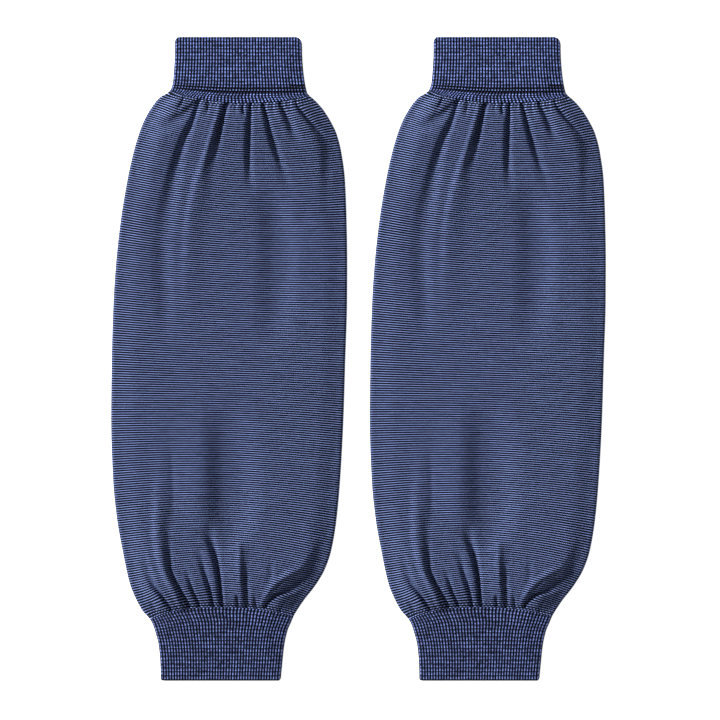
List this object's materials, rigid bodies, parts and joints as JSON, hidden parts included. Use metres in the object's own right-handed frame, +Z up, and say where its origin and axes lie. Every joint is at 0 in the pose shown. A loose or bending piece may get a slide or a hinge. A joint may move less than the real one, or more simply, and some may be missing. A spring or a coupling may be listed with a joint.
{
  "type": "pair of compression sleeves",
  "caption": "Pair of knitted arm sleeves laid flat, each a striped tube gathered between two ribbed elastic cuffs.",
  "frame": {"origin": "middle of the pair, on the surface that both sleeves lie on", "axes": "+X across the pair towards the right sleeve, +Y along the sleeves towards the upper cuffs, +Z up from the surface"},
  "size_m": [0.3076, 0.4, 0.0084],
  "materials": {
    "body_knit": "plain knit, fine courses of blue and near black yarn",
    "cuff_knit": "elastic rib knit in blue yarn, matt"
  },
  "bodies": {
    "root": {"left_upper_cuff": "cuff_knit", "left_body": "body_knit", "left_lower_cuff": "cuff_knit", "right_upper_cuff": "cuff_knit", "right_body": "body_knit", "right_lower_cuff": "cuff_knit"}
  },
  "joints": []
}
